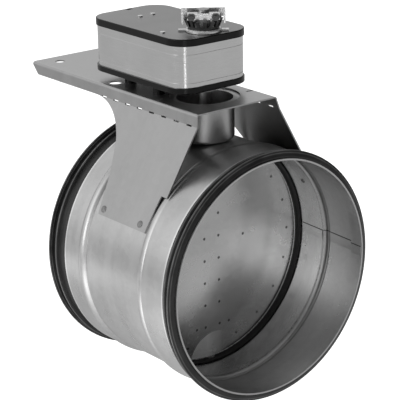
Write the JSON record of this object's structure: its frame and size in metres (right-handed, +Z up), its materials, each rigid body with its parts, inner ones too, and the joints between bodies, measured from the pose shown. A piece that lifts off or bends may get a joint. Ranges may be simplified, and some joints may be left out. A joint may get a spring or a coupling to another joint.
{
  "type": "motorised shut-off damper",
  "caption": "Round duct shut-off damper with a sealed blade, lip-sealed spigots, and a rotary actuator clamped to the blade's shaft above a sheet metal console.",
  "frame": {"origin": "where the upright shaft of the blade crosses the axis of the duct, midway between the two ends", "axes": "+Y along the duct from the open front to the rear, +Z up along the blade's shaft to the actuator, +X across the duct to the right"},
  "size_m": [0.2566, 0.3375, 0.3815],
  "materials": {
    "galvanised_sheet": "galvanised",
    "blade_sheet": "galvanised",
    "seal_rubber": "matte",
    "black_plastic": "matte",
    "housing_grey": "brushed",
    "cover_grey": "brushed",
    "bright_steel": "zinc plated",
    "gear_steel": "machined",
    "fastener_steel": "zinc plated",
    "bush_plastic": "smooth",
    "board_green": "smooth"
  },
  "bodies": {
    "housing": {"duct_body": "galvanised_sheet", "front_seal": "seal_rubber", "rear_seal": "seal_rubber", "neck_cup": "galvanised_sheet", "console": "galvanised_sheet", "wing_rivet_1": "fastener_steel", "wing_rivet_2": "fastener_steel", "wing_rivet_3": "fastener_steel", "wing_rivet_4": "fastener_steel", "upper_bush": "bush_plastic", "lower_bush": "bush_plastic", "mount_post_1": "black_plastic", "mount_post_2": "black_plastic", "mount_post_3": "black_plastic", "mount_post_4": "black_plastic", "mount_screw_1": "fastener_steel", "mount_screw_2": "fastener_steel", "mount_screw_3": "fastener_steel", "mount_screw_4": "fastener_steel", "actuator_base": "black_plastic", "housing_sleeve": "housing_grey", "lower_trim": "black_plastic", "upper_trim": "black_plastic", "top_cover": "cover_grey", "cover_screw_1": "fastener_steel", "cover_screw_2": "fastener_steel", "cover_screw_3": "fastener_steel", "cover_screw_4": "fastener_steel", "hub_bush_lower": "bush_plastic", "hub_bush_upper": "bush_plastic", "first_axle": "gear_steel", "second_axle": "gear_steel", "gear_deck": "gear_steel", "motor_can": "gear_steel", "circuit_board": "board_green", "terminal_block": "black_plastic", "cable_gland": "black_plastic"},
    "blade": {"shaft": "bright_steel", "blade_front_disc": "blade_sheet", "blade_rear_disc": "blade_sheet", "blade_frame_left": "blade_sheet", "blade_frame_right": "blade_sheet", "blade_seal": "seal_rubber", "output_hub": "bright_steel", "hub_collar": "bright_steel", "clamp_crown": "black_plastic", "clamp_yoke": "bright_steel", "clamp_jaw": "bright_steel", "clamp_stud_1": "fastener_steel", "clamp_stud_2": "fastener_steel", "clamp_nut_1": "fastener_steel", "clamp_nut_2": "fastener_steel", "output_sector": "gear_steel"},
    "first_reduction": {"first_gear": "gear_steel"},
    "second_reduction": {"second_gear": "gear_steel"},
    "motor": {"motor_pinion": "gear_steel", "motor_axle": "gear_steel", "motor_rotor": "gear_steel"}
  },
  "joints": [
    {"name": "blade_turn", "type": "hinge", "parent": "housing", "child": "blade", "pos_m": [0, 0, 0], "axis": [0, 0, 1], "range_deg": [0, 90]},
    {"name": "first_spin", "type": "hinge", "parent": "housing", "child": "first_reduction", "pos_m": [0, 0.035, 0.19], "axis": [0, 0, 1], "range_deg": [-360, 0]},
    {"name": "second_spin", "type": "hinge", "parent": "housing", "child": "second_reduction", "pos_m": [0, 0.0558, 0.19], "axis": [0, 0, 1], "range_deg": [0, 1200.01]},
    {"name": "motor_spin", "type": "hinge", "parent": "housing", "child": "motor", "pos_m": [0, 0.0714, 0.19], "axis": [0, 0, 1], "range_deg": [-4000.01, 0]}
  ],
  "couplings": [
    {"joint": "first_spin", "follows": "blade_turn", "ratio": -4},
    {"joint": "second_spin", "follows": "blade_turn", "ratio": 13.333},
    {"joint": "motor_spin", "follows": "blade_turn", "ratio": -44.444}
  ]
}
